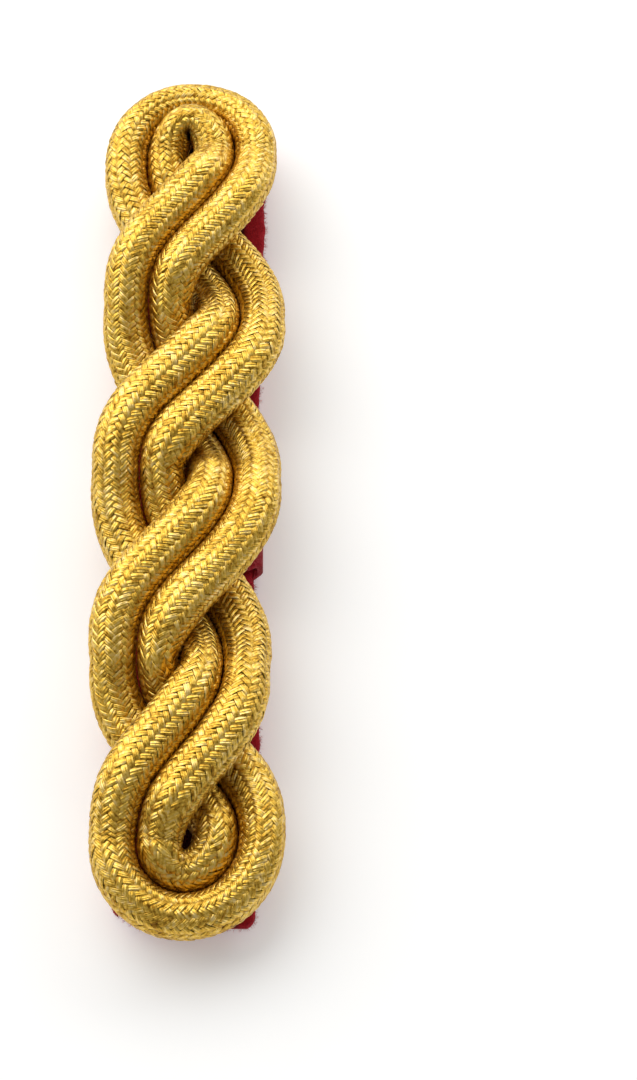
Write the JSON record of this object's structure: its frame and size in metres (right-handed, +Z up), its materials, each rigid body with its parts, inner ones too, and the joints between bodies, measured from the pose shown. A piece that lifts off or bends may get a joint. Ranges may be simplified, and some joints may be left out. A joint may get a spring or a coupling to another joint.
{
  "type": "twisted cord shoulder knot",
  "caption": "Twisted shoulder knot of side-by-side braided cords on a felt strip, with a leather tongue, button hole and keeper band beneath, for buttoning along a uniform's shoulder.",
  "frame": {"origin": "middle of the knot's footprint, on the surface it lies on", "axes": "+Y along the knot towards its collar end, +Z up from the leather through the cords, +X across it to the right as seen from above"},
  "size_m": [0.0282, 0.1374, 0.0179],
  "materials": {
    "gold_braid": "flat metallic thread braided round a cotton core, bright where it faces the light",
    "red_felt": "matt wool felt with a fuzzy cut edge",
    "red_leather": "fine pebbled grain, low sheen"
  },
  "bodies": {
    "root": {"outer_cord": "gold_braid", "inner_cord": "gold_braid", "felt_backing": "red_felt", "leather_tongue": "red_leather", "keeper_band": "red_leather"}
  },
  "joints": []
}
